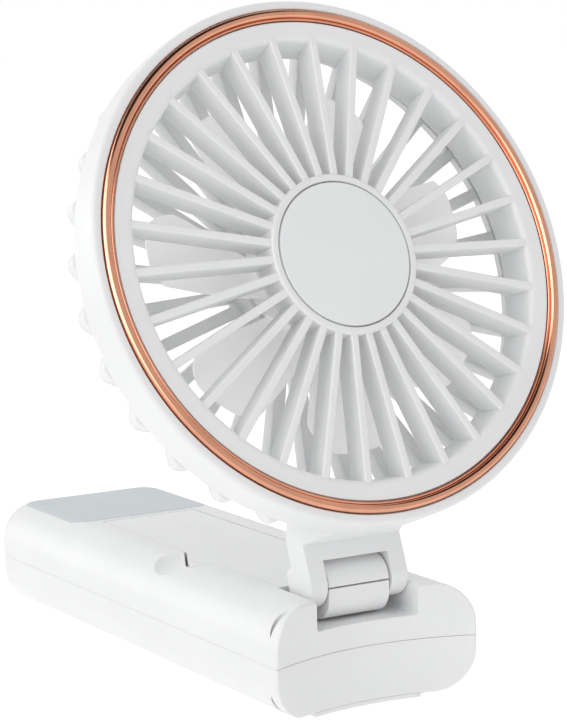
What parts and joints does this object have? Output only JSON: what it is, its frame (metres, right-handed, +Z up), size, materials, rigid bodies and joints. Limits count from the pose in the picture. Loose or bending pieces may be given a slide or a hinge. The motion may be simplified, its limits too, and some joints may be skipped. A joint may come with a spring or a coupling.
{
  "type": "folding handheld fan",
  "caption": "Small folding handheld fan: a round caged head with a polished trim ring, hinged on a flat rounded battery handle that also serves as its stand.",
  "frame": {"origin": "on the handle's flat front face, which lies on the table, on its centre line and 66 mm from its charging end", "axes": "+X to the handle's right seen from its hinge end with the back up, +Y along the handle from the hinge end to the charging end, +Z up from the table"},
  "size_m": [0.1032, 0.1323, 0.1337],
  "materials": {
    "white_plastic": "satin moulded",
    "grey_plastic": "fine matt",
    "blade_plastic": "milky, slightly translucent",
    "rose_gold": "polished rose gold",
    "steel": "plated",
    "motor_steel": "black",
    "circuit_board": "solder resist",
    "dark_plastic": "matt",
    "label": "satin film",
    "cell_wrap": "heat-shrink film"
  },
  "bodies": {
    "handle": {"front_shell": "white_plastic", "back_shell": "white_plastic", "battery_door": "white_plastic", "front_panel": "grey_plastic", "spec_label": "label", "switch_board": "circuit_board", "tact_switch": "dark_plastic", "charge_board": "circuit_board", "usb_port": "steel", "battery_cell": "cell_wrap", "spring_contact": "steel", "plate_contact": "steel", "shell_screw_1": "steel", "shell_screw_2": "steel", "shell_screw_3": "steel", "shell_screw_4": "steel", "hinge_block": "white_plastic", "hinge_block_cap": "white_plastic", "hinge_pin": "steel", "friction_washer_left": "steel", "friction_washer_right": "steel", "hinge_screw_left": "steel", "hinge_screw_right": "steel"},
    "power_button": {"power_button": "grey_plastic"},
    "head": {"front_grille": "white_plastic", "trim_ring": "rose_gold", "hub_cap": "grey_plastic", "rear_housing": "white_plastic", "rear_grille": "white_plastic", "motor_can": "motor_steel", "motor_end_cap": "dark_plastic", "motor_screw_left": "steel", "motor_screw_right": "steel"},
    "impeller": {"impeller": "blade_plastic", "motor_shaft": "steel"}
  },
  "joints": [
    {"name": "head_tilt", "type": "hinge", "parent": "handle", "child": "head", "pos_m": [0, -0.04805, 0.0234], "axis": [1, 0, 0], "range_deg": [-68.64, 111.36]},
    {"name": "impeller_spin", "type": "hinge", "parent": "head", "child": "impeller", "pos_m": [0, -0.04779, 0.086], "axis": [0, -0.9313, 0.3642], "continuous": true},
    {"name": "power_button_press", "type": "slide", "parent": "handle", "child": "power_button", "axis": [0, 0, 1], "range_m": [0, 0.0005], "stiffness_N_per_m": 1500, "springref_m": -0.0004}
  ]
}
